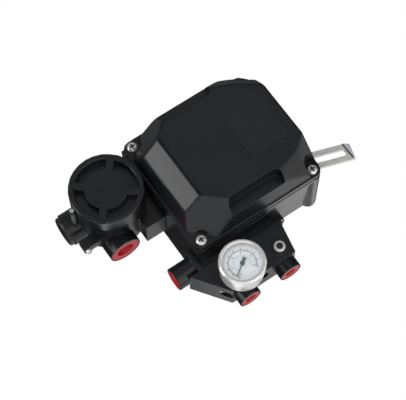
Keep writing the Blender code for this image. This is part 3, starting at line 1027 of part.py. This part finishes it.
def add_pilot(spool_axis):
    """Pilot valve: block with a through bore, a spool on a spring and two caps."""
    z = (PILOT_LOW + PILOT_HIGH) / 2
    y = MECHANISM_Y
    body = box("pilot_body", (PILOT_LEFT, y - 9 * MM, PILOT_LOW), (PILOT_RIGHT, PLATE_FRONT - GAP, PILOT_HIGH), "aluminium")
    cut(body, rod("spool_bore", (PILOT_LEFT - DEEP, y, z), (PILOT_RIGHT + DEEP, y, z), PILOT_BORE, sides=16))
    start = PILOT_LEFT + 2 * MM
    land = PILOT_BORE - SPOOL_GAP
    neck = 2.4 * MM
    profile = [(0, 0)]
    height = 0
    for number in range(3):
        end_height = height - SPOOL_LAND
        profile += [(land, height), (land, end_height)]
        if number < 2:
            height = end_height - SPOOL_NECK
            profile += [(neck, end_height), (neck, height)]
    profile.append((0, end_height))
    spool = turned("pilot_spool", profile, (start - end_height, y, z), (1, 0, 0), "stainless", steps=12)
    spring_start = start - end_height + 0.8 * MM
    coil = [(spring_start + height, y + across, z + up) for across, up, height in
            coil_points(0, 0, 0, PILOT_RIGHT - spring_start - 0.8 * MM, 2.6 * MM, 4)]
    spring = wire("pilot_spring", coil, 0.4 * MM, "stainless")
    caps = []
    for number, (face, side) in enumerate(((PILOT_LEFT - GAP, -1), (PILOT_RIGHT + GAP, 1)), 1):
        caps.append(rod(f"pilot_cap_{number}", (face, y, z), (face + side * CAP_THICK, y, z), 10 * MM, "brass",
                        sides=20))
    carried_by(spool_axis, spool)
    return body, spool, spring, caps


clear_scene()
lever_axis = add_axis("lever_axis", (0, 0, 0), LEVER_TURN)
lid_turn_axis = add_axis("lid_turn_axis", (TERMINAL_X, TERMINAL_FRONT, TERMINAL_Z))
lid_slide_axis = add_axis("lid_slide_axis", (TERMINAL_X, TERMINAL_FRONT, TERMINAL_Z))
gauge_axis = add_axis("pointer_axis", (GAUGE_X, GAUGE_FRONT, GAUGE_Z))
balance_axis = add_axis("beam_axis", (BEAM_PIVOT_X, MECHANISM_Y, BEAM_Z))
zero_screw_axis = add_axis("zero_axis", (ZERO_X, MECHANISM_Y, ZERO_TAB_Z))
pilot_axis = add_axis("spool_axis", (PILOT_LEFT, MECHANISM_Y, (PILOT_LOW + PILOT_HIGH) / 2))
add_body()
add_cover()
add_terminal_box()
add_lid(lid_turn_axis, lid_slide_axis)
add_manifold()
add_gauge(gauge_axis)
add_shaft(lever_axis)
add_base_plate()
add_balance(balance_axis, zero_screw_axis)
add_pilot(pilot_axis)
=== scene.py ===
"""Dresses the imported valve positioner: black painted castings, polished gauge with its dial, brushed lever,
red port plugs, zinc-plated screws, plain studio light and the camera."""

import json
import math

import bmesh
import bpy
from mathutils import Matrix, Vector


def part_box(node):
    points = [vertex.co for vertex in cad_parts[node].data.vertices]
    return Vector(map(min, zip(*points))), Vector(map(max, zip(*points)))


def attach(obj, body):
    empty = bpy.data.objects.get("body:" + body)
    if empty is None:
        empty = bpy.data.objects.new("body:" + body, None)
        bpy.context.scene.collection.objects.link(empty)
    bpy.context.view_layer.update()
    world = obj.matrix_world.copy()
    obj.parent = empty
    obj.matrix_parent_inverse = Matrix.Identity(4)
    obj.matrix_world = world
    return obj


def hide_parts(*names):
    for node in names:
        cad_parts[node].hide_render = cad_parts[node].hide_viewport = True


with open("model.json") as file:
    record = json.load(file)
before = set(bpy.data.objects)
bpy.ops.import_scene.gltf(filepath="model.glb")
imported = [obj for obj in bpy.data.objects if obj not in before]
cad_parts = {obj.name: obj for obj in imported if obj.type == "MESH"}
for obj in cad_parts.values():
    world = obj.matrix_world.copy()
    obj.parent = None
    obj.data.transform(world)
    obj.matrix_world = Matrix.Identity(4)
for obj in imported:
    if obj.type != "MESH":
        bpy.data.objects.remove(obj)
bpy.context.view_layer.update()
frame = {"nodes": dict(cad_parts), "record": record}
MM = 0.001
BODY_OF = {node: body for body, nodes in frame["record"]["behaviour"]["bodies"].items() for node in nodes}
SLOT_OF = {entry["node"]: entry["material_slot"] for entry in frame["record"]["subparts"]}


# Camera, light and floor

CAMERA_PLACE = (-0.30163, -1.12594, -0.42287)
CAMERA_TURN = ((0.82409, 0.51809, -0.22904), (0.00216, -0.40721, -0.91333), (-0.56645, 0.75218, -0.33669))
FOCAL_LENGTH = 124.1
SENSOR_WIDTH = 36
FLOOR_HEIGHT = -0.56
FLOOR_HALF_WIDTH = 4
ROOM_LEVEL = 0.65
MIRRORED_LEVEL = 0.03
MIRRORED_LEVEL_OVERHEAD = 0.2

# Name, place, aim, width, power and whether glossy surfaces mirror it
LAMPS = (
    ("key_left", (-1.6, -0.4, 0.58), (0, -0.03, 0), 0.8, 7, True),
    ("front_fill", (-0.3, -1.8, 0.5), (0, -0.03, 0), 0.8, 9, False),
    ("face_card", (0.37, -1.46, 0.54), (0, -0.08, 0), 1.1, 1.2, True),
    ("case_shine", (-0.48, 0.9, -0.4), (-0.04, -0.06, -0.09), 0.4, 0.3, True),
    ("table_glow", (0.05, -0.25, -0.5), (0.02, -0.06, -0.05), 0.3, 0.2, True),
    ("wall_glow", (0.2, 0.35, -0.2), (0.05, -0.03, -0.06), 0.15, 0.06, True),
)


def add_camera():
    data = bpy.data.cameras.new("camera")
    data.sensor_fit = "HORIZONTAL"
    data.sensor_width = SENSOR_WIDTH
    data.lens = FOCAL_LENGTH
    data.clip_start = 0.01
    camera = bpy.data.objects.new("camera", data)
    bpy.context.scene.collection.objects.link(camera)
    camera.matrix_world = Matrix.Translation(CAMERA_PLACE) @ Matrix(CAMERA_TURN).to_4x4()
    bpy.context.scene.camera = camera


def add_lamp(name, place, aim, width, power, mirrored):
    data = bpy.data.lights.new(name, "AREA")
    data.shape = "SQUARE"
    data.size = width
    data.energy = power
    lamp = bpy.data.objects.new(name, data)
    bpy.context.scene.collection.objects.link(lamp)
    lamp.location = place
    lamp.rotation_euler = (Vector(aim) - Vector(place)).to_track_quat("-Z", "Y").to_euler()
    lamp.visible_glossy = mirrored
    lamp.visible_camera = False


def add_world():
    """Evenly lit room with dark reflections that grow lighter overhead; the camera sees white."""
    world = bpy.data.worlds.new("studio")
    bpy.context.scene.world = world
    world.use_nodes = True
    nodes, links = world.node_tree.nodes, world.node_tree.links
    nodes.clear()
    output = nodes.new("ShaderNodeOutputWorld")
    path = nodes.new("ShaderNodeLightPath")
    place = nodes.new("ShaderNodeTexCoord")
    split = nodes.new("ShaderNodeSeparateXYZ")
    links.new(place.outputs["Generated"], split.inputs["Vector"])
    fade = nodes.new("ShaderNodeMapRange")
    fade.interpolation_type = "SMOOTHSTEP"
    fade.inputs["From Min"].default_value = 0.35
    fade.inputs["From Max"].default_value = 1.0
    fade.inputs["To Min"].default_value = MIRRORED_LEVEL
    fade.inputs["To Max"].default_value = MIRRORED_LEVEL_OVERHEAD
    links.new(split.outputs["Z"], fade.inputs["Value"])
    shades = []
    for _ in range(3):
        shade = nodes.new("ShaderNodeBackground")
        shade.inputs["Color"].default_value = (1, 1, 1, 1)
        shades.append(shade)
    room, mirrored, plain = shades
    room.inputs["Strength"].default_value = ROOM_LEVEL
    links.new(fade.outputs["Result"], mirrored.inputs["Strength"])
    reflected = nodes.new("ShaderNodeMath")
    reflected.operation = "MAXIMUM"
    links.new(path.outputs["Is Glossy Ray"], reflected.inputs[0])
    links.new(path.outputs["Is Transmission Ray"], reflected.inputs[1])
    mix_mirrored = nodes.new("ShaderNodeMixShader")
    links.new(reflected.outputs[0], mix_mirrored.inputs["Fac"])
    links.new(room.outputs[0], mix_mirrored.inputs[1])
    links.new(mirrored.outputs[0], mix_mirrored.inputs[2])
    mix_seen = nodes.new("ShaderNodeMixShader")
    links.new(path.outputs["Is Camera Ray"], mix_seen.inputs["Fac"])
    links.new(mix_mirrored.outputs[0], mix_seen.inputs[1])
    links.new(plain.outputs[0], mix_seen.inputs[2])
    links.new(mix_seen.outputs[0], output.inputs["Surface"])


def add_floor():
    """White floor that shows dark in reflections, as the room does."""
    bm = bmesh.new()
    bmesh.ops.create_grid(bm, x_segments=1, y_segments=1, size=FLOOR_HALF_WIDTH)
    mesh = bpy.data.meshes.new("floor")
    bm.to_mesh(mesh)
    bm.free()
    floor = bpy.data.objects.new("floor", mesh)
    floor.location = (0, 0, FLOOR_HEIGHT)
    bpy.context.scene.collection.objects.link(floor)
    material, shader, nodes, links = new_material("floor_white", (0.9, 0.9, 0.9), 0, 0.9)
    path = nodes.new("ShaderNodeLightPath")
    shader.inputs["Emission Color"].default_value = (MIRRORED_LEVEL, MIRRORED_LEVEL, MIRRORED_LEVEL, 1)
    links.new(path.outputs["Is Glossy Ray"], shader.inputs["Emission Strength"])
    mesh.materials.append(material)


# Materials

def new_material(name, colour, metallic, roughness):
    material = bpy.data.materials.new(name)
    material.use_nodes = True
    tree = material.node_tree
    shader = tree.nodes["Principled BSDF"]
    shader.inputs["Base Color"].default_value = (*colour, 1)
    shader.inputs["Metallic"].default_value = metallic
    shader.inputs["Roughness"].default_value = roughness
    return material, shader, tree.nodes, tree.links


def add_noise(nodes, links, scale, detail, stretch=(1, 1, 1)):
    place = nodes.new("ShaderNodeTexCoord")
    mapping = nodes.new("ShaderNodeMapping")
    mapping.inputs["Scale"].default_value = stretch
    noise = nodes.new("ShaderNodeTexNoise")
    noise.inputs["Scale"].default_value = scale
    noise.inputs["Detail"].default_value = detail
    links.new(place.outputs["Object"], mapping.inputs["Vector"])
    links.new(mapping.outputs["Vector"], noise.inputs["Vector"])
    return noise


def add_bump(nodes, links, shader, noise, strength, distance):
    bump = nodes.new("ShaderNodeBump")
    bump.inputs["Strength"].default_value = strength
    bump.inputs["Distance"].default_value = distance
    links.new(noise.outputs["Fac"], bump.inputs["Height"])
    links.new(bump.outputs["Normal"], shader.inputs["Normal"])


def vary(nodes, links, noise, target, low, high):
    spread = nodes.new("ShaderNodeMapRange")
    spread.inputs["To Min"].default_value = low
    spread.inputs["To Max"].default_value = high
    links.new(noise.outputs["Fac"], spread.inputs["Value"])
    links.new(spread.outputs["Result"], target)


def tint(nodes, links, noise, shader, dark, light):
    ramp = nodes.new("ShaderNodeValToRGB")
    ramp.color_ramp.elements[0].position = 0.35
    ramp.color_ramp.elements[1].position = 0.65
    ramp.color_ramp.elements[0].color = (*dark, 1)
    ramp.color_ramp.elements[1].color = (*light, 1)
    links.new(noise.outputs["Fac"], ramp.inputs["Fac"])
    links.new(ramp.outputs["Color"], shader.inputs["Base Color"])


def painted_casting(name, colour, roughness):
    """Satin paint over a cast skin: a fine orange peel and slightly uneven gloss."""
    material, shader, nodes, links = new_material(name, colour, 0, roughness)
    peel = add_noise(nodes, links, 900, 3)
    add_bump(nodes, links, shader, peel, 0.08, 0.0003)
    edges = nodes.new("ShaderNodeBevel")
    edges.samples = 6
    edges.inputs["Radius"].default_value = 0.9 * MM
    links.new(edges.outputs["Normal"], nodes["Bump"].inputs["Normal"])
    cloud = add_noise(nodes, links, 30, 2)
    vary(nodes, links, cloud, shader.inputs["Roughness"], roughness - 0.04, roughness + 0.05)
    tint(nodes, links, cloud, shader, tuple(c * 0.85 for c in colour), tuple(c * 1.15 for c in colour))
    return material


def plated(name, colour, roughness, grain=600, metallic=1.0):
    """Plated or turned metal with a fine grain."""
    material, shader, nodes, links = new_material(name, colour, metallic, roughness)
    noise = add_noise(nodes, links, grain, 3)
    add_bump(nodes, links, shader, noise, 0.02, 0.0001)
    vary(nodes, links, noise, shader.inputs["Roughness"], roughness - 0.03, roughness + 0.05)
    tint(nodes, links, noise, shader, tuple(c * 0.95 for c in colour), colour)
    return material


def brushed(name, colour, roughness, stretch):
    """Sheet metal with long brush lines."""
    material, shader, nodes, links = new_material(name, colour, 0.55, roughness)
    noise = add_noise(nodes, links, 60, 6, stretch)
    add_bump(nodes, links, shader, noise, 0.12, 0.0003)
    vary(nodes, links, noise, shader.inputs["Roughness"], roughness - 0.08, roughness + 0.1)
    tint(nodes, links, noise, shader, tuple(c * 0.75 for c in colour), colour)
    return material


def moulded(name, colour, roughness):
    """Injection-moulded plastic with a very slight mottling."""
    material, shader, nodes, links = new_material(name, colour, 0, roughness)
    noise = add_noise(nodes, links, 220, 2)
    add_bump(nodes, links, shader, noise, 0.06, 0.0003)
    vary(nodes, links, noise, shader.inputs["Roughness"], roughness - 0.04, roughness + 0.06)
    tint(nodes, links, noise, shader, tuple(c * 0.9 for c in colour), colour)
    return material


def clear_glass():
    material, shader, _, _ = new_material("lens_glass", (0.92, 0.95, 0.97), 0, 0.04)
    shader.inputs["Alpha"].default_value = 0.06
    return material


MATERIAL = {
    "black_paint": painted_casting("black_paint_skin", (0.0065, 0.0072, 0.0088), 0.28),
    "stainless": plated("stainless_skin", (0.88, 0.87, 0.86), 0.22, metallic=0.6),
    "zinc_steel": plated("zinc_skin", (0.80, 0.80, 0.78), 0.28, metallic=0.75),
    "brass": plated("brass_skin", (0.72, 0.52, 0.22), 0.3),
    "aluminium": plated("aluminium_skin", (0.62, 0.63, 0.64), 0.4),
    "dark_steel": plated("dark_steel_skin", (0.14, 0.14, 0.15), 0.45),
    "copper": plated("copper_skin", (0.70, 0.30, 0.14), 0.35, 1500),
    "red_plastic": moulded("red_plastic_skin", (0.50, 0.006, 0.02), 0.34),
    "black_plastic": moulded("black_plastic_skin", (0.012, 0.012, 0.013), 0.34),
    "rubber": moulded("rubber_skin", (0.02, 0.02, 0.02), 0.7),
    "glass": clear_glass(),
    "dial_white": moulded("dial_skin", (0.80, 0.84, 0.87), 0.45),
}
LEVER_STEEL = brushed("lever_steel", (0.80, 0.79, 0.76), 0.32, (1, 12, 12))
# Painted shade: a dark colour given to the faces inside screw recesses
SCREW_RECESS_SHADE, _, _, _ = new_material("screw_recess_painted_shade", (0.03, 0.03, 0.03), 0, 0.6)


# Pieces over the CAD nodes

WELD_DISTANCE = 0.00002
SHARP_BEND = math.radians(28)
NUT_EDGE = 0.4 * MM
SHORTEST_SOFT_EDGE = 2 * MM
OUTWARD = Vector((0, -1, 0))

# Nodes whose solids are dressed; the others only get their materials
SKINNED = (
    "body_housing", "cover", "terminal_housing", "terminal_lid", "manifold_block", "conduit_blanking_plug",
    "conduit_dust_plug", "port_plug_1", "port_plug_2", "port_plug_3", "gauge_case", "gauge_bezel",
    "gauge_lens", "vent_plug", "lever_nut", "lever_washer", "main_shaft", "shaft_bushing",
    "manifold_hex_plug", "lid_lock_screw", "ground_screw", "cover_gasket", "manifold_gasket", "lid_o_ring",
    "gauge_dial", "gauge_pointer", "cover_screw_1", "cover_screw_2", "cover_screw_3", "cover_screw_4",
    "manifold_screw_1", "manifold_screw_2",
)

# The lever points down to the right; the slot's outer end lies this far along it and this near its middle
LEVER_DROOP = math.radians(18.5)
SLOT_END = (113 * MM, 120 * MM)
SLOT_HALF_WIDTH = 3.6 * MM
SLOT_EXTRA = 4.3 * MM


def soften(bm, width):
    """Rounds the long, clearly bent outer edges."""
    edges = []
    for edge in bm.edges:
        if len(edge.link_faces) != 2 or edge.calc_length() < SHORTEST_SOFT_EDGE:
            continue
        bend = math.degrees(edge.calc_face_angle(0))
        if 20 < bend < 150 and edge.is_convex:
            edges.append(edge)
    if edges:
        bmesh.ops.bevel(bm, geom=edges, offset=width, offset_type="OFFSET", segments=2, profile=0.5,
                        affect="EDGES", clamp_overlap=True)


def dressed(node, material=None, width=0.0):
    """Copy of a node's solid with smooth curved faces and its finish; a width rounds its edges."""
    mesh = frame["nodes"][node].data.copy()
    mesh.name = node + "_skin"
    for attribute in [entry for entry in mesh.attributes if entry.name == "custom_normal"]:
        mesh.attributes.remove(attribute)
    bm = bmesh.new()
    bm.from_mesh(mesh)
    bmesh.ops.remove_doubles(bm, verts=bm.verts, dist=WELD_DISTANCE)
    if width:
        soften(bm, width)
    for face in bm.faces:
        face.smooth = True
    bm.to_mesh(mesh)
    bm.free()
    mesh.set_sharp_from_angle(angle=SHARP_BEND)
    mesh.materials.clear()
    mesh.materials.append(material or MATERIAL[SLOT_OF[node]])
    piece = bpy.data.objects.new(node + "_skin", mesh)
    bpy.context.scene.collection.objects.link(piece)
    flat = piece.modifiers.new("flat_faces", "WEIGHTED_NORMAL")
    flat.keep_sharp = True
    flat.weight = 100
    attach(piece, BODY_OF[node])
    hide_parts(node)
    return piece


def darken_recess(piece, head_height, reach):
    """Paints shade into a screw's recess by giving the recess faces a dark colour; the head points to the
    front.
    """
    mesh = piece.data
    mesh.materials.append(SCREW_RECESS_SHADE)
    points = [piece.matrix_world @ vertex.co for vertex in mesh.vertices]
    middle = sum(points, Vector()) / len(points)
    top = max(point.dot(OUTWARD) for point in points)
    for face in mesh.polygons:
        spot = piece.matrix_world @ face.center
        depth = top - spot.dot(OUTWARD)
        side = spot - middle
        side -= OUTWARD * side.dot(OUTWARD)
        if 0.02 * MM < depth < head_height and side.length < reach:
            face.material_index = 1


def add_piece(name, mesh, material, body, place):
    """Piece with no node of its own, on the body that carries it."""
    mesh.materials.clear()
    mesh.materials.append(material)
    piece = bpy.data.objects.new(name, mesh)
    bpy.context.scene.collection.objects.link(piece)
    piece.matrix_world = place
    bpy.context.view_layer.update()
    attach(piece, body)


def lengthen_slot(lever):
    """Moves the outer end of the lever's slot outwards."""
    along = Vector((math.cos(LEVER_DROOP), 0, -math.sin(LEVER_DROOP)))
    across = Vector((along.z, 0, -along.x))
    back = lever.matrix_world.inverted().to_3x3()
    for vertex in lever.data.vertices:
        place = lever.matrix_world @ vertex.co
        if abs(place.dot(across)) < SLOT_HALF_WIDTH and SLOT_END[0] < place.dot(along) < SLOT_END[1]:
            vertex.co += back @ (along * SLOT_EXTRA)


def dress_all():
    for node in SKINNED:
        piece = dressed(node, width=NUT_EDGE if node == "lever_nut" else 0.0)
        # Painted shade in the recesses of the cover screws and the hex plug
        if node.startswith("cover_screw"):
            darken_recess(piece, 2.2 * MM, 2.4 * MM)
        elif node == "manifold_hex_plug":
            darken_recess(piece, 4 * MM, 3.2 * MM)
    lengthen_slot(dressed("feedback_lever", LEVER_STEEL))
    for node, obj in frame["nodes"].items():
        if node not in SKINNED and node != "feedback_lever":
            for slot in obj.material_slots:
                slot.material = MATERIAL[SLOT_OF[node]]


# Flat pieces: dial, pointer tail, lever end and label

DIAL_FIRST = math.radians(225)
DIAL_SWEEP = math.radians(-270)
PRINT_DEPTH = 0.04 * MM
SCALE_RADIUS = 11.5 * MM
INNER_SCALE_RADIUS = 7.0 * MM
NUMBER_RADIUS = 9.4 * MM
NUMBER_SIZE = 3 * MM
POINTER_REST = math.radians(215)
LEVER_END_EXTRA = 0.3 * MM
LABEL_HALF_WIDTH, LABEL_HALF_HEIGHT = 18.5 * MM, 25 * MM
LABEL_CORNER = 1.5 * MM


def flat_shape(name, loops, depth):
    """Thin plates from anticlockwise outlines in their own XY plane."""
    bm = bmesh.new()
    for loop in loops:
        lower = [bm.verts.new((x, y, -depth / 2)) for x, y in loop]
        upper = [bm.verts.new((x, y, depth / 2)) for x, y in loop]
        bm.faces.new(lower[::-1])
        bm.faces.new(upper)
        for number in range(len(loop)):
            bm.faces.new((lower[number - 1], lower[number], upper[number], upper[number - 1]))
    bmesh.ops.recalc_face_normals(bm, faces=bm.faces)
    mesh = bpy.data.meshes.new(name)
    bm.to_mesh(mesh)
    bm.free()
    return mesh


def front_place(x, y, z):
    """Own +X to the right, own +Y up, own +Z towards the front."""
    return Matrix.Translation((x, y, z)) @ Matrix.Rotation(math.pi / 2, 4, "X")


def bar(angle, inner, outer, half):
    """Corners of a radial bar about the origin."""
    along = Vector((math.cos(angle), math.sin(angle)))
    across = Vector((-along.y, along.x)) * half
    return [tuple(along * inner + across), tuple(along * inner - across), tuple(along * outer - across),
            tuple(along * outer + across)]


def arc_points(start, end, radius, steps):
    angles = [start + (end - start) * step / steps for step in range(steps + 1)]
    return [(radius * math.cos(angle), radius * math.sin(angle)) for angle in angles]


def arc_band(start, end, inner, outer, steps):
    return arc_points(start, end, outer, steps) + arc_points(end, start, inner, steps)


def dial_angle(mark, marks):
    return DIAL_FIRST + DIAL_SWEEP * mark / marks


def number_mesh(name, number):
    text = bpy.data.curves.new(name, "FONT")
    text.body = str(number)
    text.size = NUMBER_SIZE
    text.extrude = PRINT_DEPTH / 2
    text.align_x = "CENTER"
    text.align_y = "CENTER"
    source = bpy.data.objects.new(text.name, text)
    mesh = bpy.data.meshes.new_from_object(source)
    bpy.data.objects.remove(source)
    return mesh


def add_dial():
    """Two scales and the numbers on the dial, and the pointer's thick tail."""
    low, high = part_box("gauge_dial")
    x, z = (low.x + high.x) / 2, (low.z + high.z) / 2
    place = front_place(x, low.y - 0.06 * MM, z)
    ink, _, _, _ = new_material("dial_ink", (0.03, 0.035, 0.04), 0, 0.5)
    grey, _, _, _ = new_material("dial_grey_ink", (0.25, 0.28, 0.30), 0, 0.5)
    last = DIAL_FIRST + DIAL_SWEEP
    outer = []
    for mark in range(51):
        reach, half = (13.8 * MM, 0.24 * MM) if mark % 5 == 0 else (12.7 * MM, 0.13 * MM)
        outer.append(bar(dial_angle(mark, 50), SCALE_RADIUS, reach, half))
    outer.append(arc_band(DIAL_FIRST, last, 11.15 * MM, SCALE_RADIUS, 60))
    inner = [bar(dial_angle(mark, 20), INNER_SCALE_RADIUS, 7.8 * MM, 0.08 * MM) for mark in range(21)]
    inner.append(arc_band(DIAL_FIRST, last, 6.8 * MM, INNER_SCALE_RADIUS, 48))
    for name, loops, colour in (("dial_scale", outer, ink), ("dial_inner_scale", inner, grey)):
        add_piece(name, flat_shape(name, loops, PRINT_DEPTH), colour, "base", place)
    for number in range(0, 11, 2):
        angle = dial_angle(number, 10)
        name = f"dial_number_{number}"
        spot = Matrix.Translation((NUMBER_RADIUS * math.cos(angle), NUMBER_RADIUS * math.sin(angle), 0))
        add_piece(name, number_mesh(name, number), ink, "base", place @ spot)
    tail = [(-1.2 * MM, 0.9 * MM), (-5.4 * MM, 1.7 * MM), (-5.4 * MM, -1.7 * MM), (-1.2 * MM, -0.9 * MM)]
    pointer_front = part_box("gauge_pointer")[0].y
    turned = front_place(x, pointer_front + 0.4 * MM, z) @ Matrix.Rotation(POINTER_REST, 4, "Z")
    add_piece("pointer_tail", flat_shape("pointer_tail", [tail], 0.6 * MM), ink, "pointer",
              turned)


def add_lever_end():
    """Grey end of the lever past its dark cross line, in the lever's own plane."""
    low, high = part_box("feedback_lever")
    thick = high.y - low.y + LEVER_END_EXTRA
    place = front_place(0, (low.y + high.y) / 2, 0)
    grey, _, _, _ = new_material("lever_end_grey", (0.50, 0.48, 0.52), 0.2, 0.45)
    dark, _, _, _ = new_material("lever_line", (0.01, 0.01, 0.01), 0, 0.5)
    line_top, line_foot = Vector((117.0, -30.2)), Vector((117.4, -46.6))
    end_top, end_foot = Vector((123.2, -33.6)), Vector((119.2, -48.4))
    step = Vector((1.3, 0))
    end = [line_top + step, line_foot + step, end_foot, end_top]
    line = [line_top, line_foot, line_foot + step, line_top + step]
    for name, shape, material in (("lever_end", end, grey), ("lever_end_line", line, dark)):
        outline = [(corner.x * MM, corner.y * MM) for corner in shape]
        add_piece(name, flat_shape(name, [outline], thick), material, "lever_shaft", place)


def add_label():
    """Bare label plate on the right of the cover's face."""
    low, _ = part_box("cover")
    material = moulded("label_film", (0.009, 0.010, 0.014), 0.30)
    inset_x, inset_z = LABEL_HALF_WIDTH - LABEL_CORNER, LABEL_HALF_HEIGHT - LABEL_CORNER
    outline = []
    for x_side, z_side, start in ((1, 1, 0), (-1, 1, 90), (-1, -1, 180), (1, -1, 270)):
        for x, z in arc_points(math.radians(start), math.radians(start + 90), LABEL_CORNER, 4):
            outline.append((x_side * inset_x + x, z_side * inset_z + z))
    plate = flat_shape("label_plate", [outline], 0.3 * MM)
    place = front_place(31 * MM, low.y - 0.15 * MM, -8.8 * MM)
    add_piece("label_plate", plate, material, "base", place)


add_camera()
add_world()
add_floor()
for lamp in LAMPS:
    add_lamp(*lamp)
dress_all()
add_dial()
add_lever_end()
add_label()
bpy.context.scene.view_settings.view_transform = "Standard"
